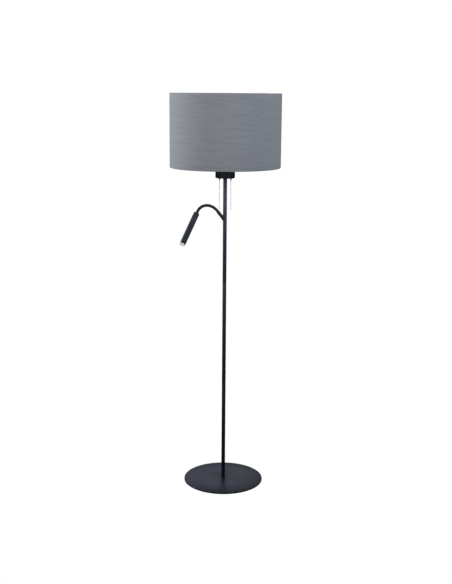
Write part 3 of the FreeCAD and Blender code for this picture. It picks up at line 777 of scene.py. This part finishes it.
# %% [markdown]
# ## The branch and its weld
#
# A short tube leaves the pole at a slant and holds the flexible arm. It is welded on, so a
# small bead fills the corner all round. The bead follows the line where the two tubes meet,
# which a formula gives: for each point round the branch, how far along it lies the pole's
# surface.

# %% Branch tube
BRANCH_RADIUS = 0.0067
BRANCH_LENGTH = 0.0475
BRANCH_BORE = 0.004
BRANCH_SOCKET = 0.0055
SOCKET_DEPTH = 0.018
along_branch = place_along(branch_root, branch_axis, Vector((0, 1, 0)))
branch = spun([(BRANCH_SOCKET, BRANCH_LENGTH - SOCKET_DEPTH), (BRANCH_SOCKET, BRANCH_LENGTH),
               (BRANCH_RADIUS, BRANCH_LENGTH), (BRANCH_RADIUS, 0.001), (BRANCH_BORE, 0.001),
               (BRANCH_BORE, BRANCH_LENGTH - SOCKET_DEPTH)], 48)
soften(branch, 0.0005, 3, 60)
finish_piece("branch", branch, shaded_branch_paint, instead_of=["branch_tube"],
             place=along_branch)


# %% Weld bead
def saddle_point(turn):
    """The point where the branch's surface meets the pole's, at an angle round the branch."""
    across = Vector((0, cos(turn) * BRANCH_RADIUS, 0))
    up = branch_axis.cross(Vector((0, 1, 0))).normalized() * sin(turn) * BRANCH_RADIUS
    start = branch_root + across + up
    flat = sqrt(max(0.0, POLE_RADIUS ** 2 - start.y ** 2))
    reach = (-flat - start.x) / branch_axis.x
    return start + branch_axis * reach


BEAD_RADIUS = 0.0013
BEAD_POINTS = 40
around = [saddle_point(tau * i / BEAD_POINTS) for i in range(BEAD_POINTS)]
bead = wire("bead", around, BEAD_RADIUS, closed=True)
finish_piece("branch_weld", bead, shaded_branch_paint)

# %% [markdown]
# ## The flexible arm
#
# A gooseneck is a close winding of round and three-cornered wire: it bends where it is
# pushed and stays there. Outside it shows one spiral of rounded ribs. In the CAD model it is
# eight stiff links on hinges, so the sleeve is made in nine pieces, each from the middle of
# one link to the middle of the next, so that each piece spans its hinge with half a link on
# either side. The spiral is a function of the distance along the arm and of the angle round
# it, so it runs on unbroken from piece to piece.

# %% The arm's line and the winding
NECK_RADIUS = 0.0060
RIB_PITCH = 0.0027
RIB_DEPTH = 0.0007
COLUMNS = 40
ROWS_PER_METRE = 2700


def arm_place(distance):
    """The matrix of a section of the arm at this distance from the start of its bend."""
    angle = min(max(distance, 0.0), bend_length) / BEND_RADIUS
    outward = Matrix.Rotation(angle, 3, bend_normal) @ out_at_start
    tangent = bend_normal.cross(outward)
    beyond = min(distance, 0.0) + max(distance - bend_length, 0.0)
    origin = bend_centre + outward * BEND_RADIUS + tangent * beyond
    return place_along(origin, tangent, outward)


def rib_radius(distance, turn):
    """The radius of the winding: a rounded rib between sharp valleys, on a spiral."""
    phase = distance / RIB_PITCH - turn / tau
    across = 2 * (phase - floor(phase)) - 1
    return NECK_RADIUS - RIB_DEPTH * (1 - sqrt(max(0.0, 1 - across * across)))


def sleeve(start, end):
    """A bmesh of the wound sleeve between two distances: a ring extruded along the arm."""
    rows = max(2, round((end - start) * ROWS_PER_METRE))
    bm = bmesh.new()
    bmesh.ops.create_circle(bm, segments=COLUMNS, radius=NECK_RADIUS)
    rings = [bm.verts[:]]
    edges = bm.edges[:]
    for _ in range(rows):
        new = bmesh.ops.extrude_edge_only(bm, edges=edges)["geom"]
        edges = [item for item in new if isinstance(item, bmesh.types.BMEdge)
                 and all(vert not in rings[-1] for vert in item.verts)]
        rings.append([item for item in new if isinstance(item, bmesh.types.BMVert)])
    for row, ring in enumerate(rings):
        distance = start + (end - start) * row / rows
        place = arm_place(distance)
        for vert in ring:
            turn = atan2(vert.co.y, vert.co.x)
            radius = rib_radius(distance, turn)
            vert.co = place @ Vector((cos(turn) * radius, sin(turn) * radius, 0))
    bmesh.ops.holes_fill(bm, edges=[edge for edge in bm.edges if edge.is_boundary], sides=0)
    bmesh.ops.recalc_face_normals(bm, faces=bm.faces)
    return bm


neck_steel = noisy_finish("black_wound_steel", (0.007, 0.009, 0.014), roughness=0.5, varies=0.2,
                          gloss_varies=0.06, broad=120, fine=2500, Specular_IOR_Level=0.2)
for i in range(NECK_LINKS + 1):
    start = link_length * (i - 0.5) if i else BRANCH_LENGTH - NECK_START
    end = link_length * (i + 0.5) if i < NECK_LINKS else bend_length + SPOT_TAIL
    piece = as_object("neck_sleeve_%d" % (i + 1), sleeve(start, end), neck_steel)
    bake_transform(piece)
    stands_for = ["neck_link_%d" % (i + 1)] if i < NECK_LINKS else ["spot_ferrule"]
    if i == 0:
        stands_for.append("neck_root_ferrule")
    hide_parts(*stands_for)
    print(piece.name, len(piece.data.polygons), "faces")

# %% [markdown]
# ## The reading spot
#
# The spot is a slim aluminium tube with a screwed rear cap. At the front a pale bezel shows
# as a thin band round the end, with a small domed lens inside it. Behind the lens sit the LED
# board and a heat spreader. All of it is spun on the Z axis and then laid along the spot.

# %% Housing
SPOT_RADIUS = 0.012
SPOT_LENGTH = 0.155
SPOT_CAP = 0.016
SPOT_WALL = 0.0012
SPOT_SHOULDER = 0.003
CAP_BORE = 0.0056
BEZEL_BAND = 0.0024
inner = SPOT_RADIUS - SPOT_WALL
tube_end = SPOT_LENGTH - BEZEL_BAND
along_spot = place_along(spot_back, spot_axis, bend_normal)
rear = spun([(CAP_BORE, 0.0004), (0.0070, 0.0)]
            + arc((SPOT_RADIUS - SPOT_SHOULDER, SPOT_SHOULDER), SPOT_SHOULDER, -90, 0, 8)
            + [(SPOT_RADIUS, SPOT_CAP), (inner, SPOT_CAP), (inner, SPOT_CAP + 0.004),
               (CAP_BORE, SPOT_CAP + 0.004)], 72)
soften(rear, 0.0003, 2, 60)
finish_piece("spot_cap", rear, shaded_spot_paint, "spot", ["spot_rear_cap"], along_spot)
tube = spun([(inner, SPOT_CAP), (SPOT_RADIUS, SPOT_CAP), (SPOT_RADIUS, tube_end),
             (inner, tube_end)], 72)
soften(tube, 0.00035, 3, 60)
finish_piece("spot_barrel", tube, shaded_spot_paint, "spot", ["spot_tube"], along_spot)

# %% Bezel and lens
bezel_finish = noisy_finish("silver_lacquer_bezel", (0.72, 0.70, 0.73), metallic=0.1,
                            roughness=0.38, varies=0.03, gloss_varies=0.06, broad=300, fine=2500)
lens_finish = noisy_finish("lens_moulding", (0.60, 0.59, 0.61), roughness=0.22, varies=0.08,
                           gloss_varies=0.03, broad=300, fine=2500, IOR=1.49)
BEZEL_ROUND = 0.0012
DOME_RADIUS = 0.0115
rim = SPOT_RADIUS - 0.0002
bezel_back = SPOT_LENGTH - 0.003
bezel = spun([(0.0058, bezel_back), (inner, bezel_back), (inner, tube_end), (rim, tube_end)]
             + arc((rim - BEZEL_ROUND, SPOT_LENGTH - 0.0002), BEZEL_ROUND, 0, 90, 5)
             + [(0.0062, SPOT_LENGTH - 0.0012)], 72)
finish_piece("spot_front_ring", bezel, bezel_finish, "spot",
             ["spot_bezel"], along_spot)
dome = arc((0, SPOT_LENGTH - DOME_RADIUS), DOME_RADIUS, 58, 90, 8)
lens = spun([(0, SPOT_LENGTH - 0.014), (0.0045, SPOT_LENGTH - 0.014),
             (inner - 0.0003, SPOT_LENGTH - 0.0045), (inner - 0.0003, SPOT_LENGTH - 0.0031),
             (0.0061, SPOT_LENGTH - 0.0031)] + dome, 72, closed=False)
finish_piece("spot_lens_dome", lens, lens_finish, "spot", ["spot_lens"],
             along_spot)

# %% [markdown]
# ## Finishes of the CAD parts that stay
#
# The remaining CAD nodes have the right shape already: threaded tubes, nuts, inserts, leads
# and switch parts. Each gets the material that its slot in the record names.

# %% Materials by slot
finish_of_slot = {
    "stand_paint": paint, "spot_coat": shaded_spot_paint, "foot_foam": foam, "zinc": zinc,
    "screw_steel": blackened, "nickel": nickel, "spring_steel": spring_wire,
    "black_plastic": black_plastic, "lead_sheath": lead_sheath,
    "white_plastic": white_plastic, "bulb_opal": opal, "bulb_cap_metal": zinc,
    "shade_cloth": cloth, "shade_wire": white_wire, "neck_steel": neck_steel,
    "spot_aluminium": machined, "spot_bezel_silver": bezel_finish, "board": board_mask,
    "lens_clear": lens_finish}
for part in frame["record"]["subparts"]:
    node = nodes[part["node"]]
    node.data.materials.clear()
    node.data.materials.append(finish_of_slot[part["material_slot"]])
print("finishes given to", len(nodes), "CAD nodes")

# %% [markdown]
# ## Floor and light
#
# The lamp stands on a plain white floor that runs into a white surround. The floor is white
# by its own light alone, so it is even out to the horizon. It is hidden from the diffuse and
# glossy rays of the lamp, because a glowing floor would light the lamp from below, and a
# real studio floor doesn't. Soft boxes do the lighting: one on the left, a little behind the
# lamp, which gives the drum its bright side; two weaker ones in front, held close to the
# upper part, so that the pole darkens towards the floor; and a narrow one behind on the
# right. A card far behind is small enough for the pole to throw a soft dark streak on the
# plate, which reflects it. Two little lights show the inside of the drum and the lens.

# %% Floor
FLOOR_RADIUS = 60
floor_bm = bmesh.new()
bmesh.ops.create_circle(floor_bm, cap_ends=True, segments=64, radius=FLOOR_RADIUS)
floor_finish, tree, shader = new_finish("white_floor", (0.0, 0.0, 0.0), 0.0, 0.9)
shader.inputs["Specular IOR Level"].default_value = 0.0
shader.inputs["Emission Color"].default_value = (1, 1, 1, 1)
shader.inputs["Emission Strength"].default_value = 1.0
floor_piece = as_object("studio_floor", floor_bm, floor_finish)
floor_piece.visible_diffuse = False
floor_piece.visible_glossy = False
floor_piece.visible_transmission = False
print("floor ready")

# %% World
scene = bpy.context.scene
scene.view_settings.view_transform = "Standard"
world = bpy.data.worlds.new("white_surround")
scene.world = world
world.use_nodes = True
tree = world.node_tree
tree.nodes.clear()
SURROUND_LIGHT = 0.025
backgrounds = []
for strength in (SURROUND_LIGHT, 1.0):
    background = tree.nodes.new("ShaderNodeBackground")
    background.inputs["Color"].default_value = (1, 1, 1, 1)
    background.inputs["Strength"].default_value = strength
    backgrounds.append(background)
path = tree.nodes.new("ShaderNodeLightPath")
mix = tree.nodes.new("ShaderNodeMixShader")
output = tree.nodes.new("ShaderNodeOutputWorld")
tree.links.new(path.outputs["Is Camera Ray"], mix.inputs["Fac"])
tree.links.new(backgrounds[0].outputs["Background"], mix.inputs[1])
tree.links.new(backgrounds[1].outputs["Background"], mix.inputs[2])
tree.links.new(mix.outputs["Shader"], output.inputs["Surface"])
print("the surround gives", SURROUND_LIGHT, "of white as light")


# %% Soft boxes
def soft_box(name, place, target, size, power, colour=(1, 1, 1), spread=180):
    """A rectangular area light of so many watts; a grid narrows its spread, in degrees."""
    data = bpy.data.lights.new(name, "AREA")
    data.shape = "RECTANGLE"
    data.size, data.size_y = size
    data.energy = power
    data.color = colour
    data.spread = radians(spread)
    light = bpy.data.objects.new(name, data)
    scene.collection.objects.link(light)
    aim = (Vector(target) - Vector(place)).to_track_quat("-Z", "Y").to_matrix().to_4x4()
    light.matrix_world = Matrix.Translation(place) @ aim
    light.visible_camera = False


COOL = (0.84, 0.89, 1.0)
NEUTRAL = (1.0, 1.0, 0.98)
LENS_CARD_GAP = 0.25
spot_front = spot_back + spot_axis * SPOT_LENGTH
lens_card_place = spot_front + spot_axis * LENS_CARD_GAP
soft_box("left_key", (-2.5, 0.6, 2.2), (0, 0, 1.45), (0.8, 0.8), 90, COOL)
soft_box("left_front", (-0.85, -1.25, 1.75), (0, 0, 1.5), (0.7, 0.8), 3.85, NEUTRAL, 95)
soft_box("right_front", (0.95, -1.15, 1.75), (0, 0, 1.5), (0.7, 0.8), 4.9, COOL, 95)
soft_box("right_rim", (2.3, 1.05, 2.2), (0, 0, 1.45), (0.5, 0.8), 29, NEUTRAL)
soft_box("back_card", (-0.15, 3.2, 1.4), (0, 0, 0), (1.6, 0.7), 4.3, COOL)
soft_box("drum_light", (0, 0, 1.70), (0, 0, 1.5), (0.25, 0.25), 0.6, NEUTRAL, 120)
soft_box("lens_card", lens_card_place, spot_front, (0.06, 0.06), 0.035, NEUTRAL, 50)
print("lights ready")
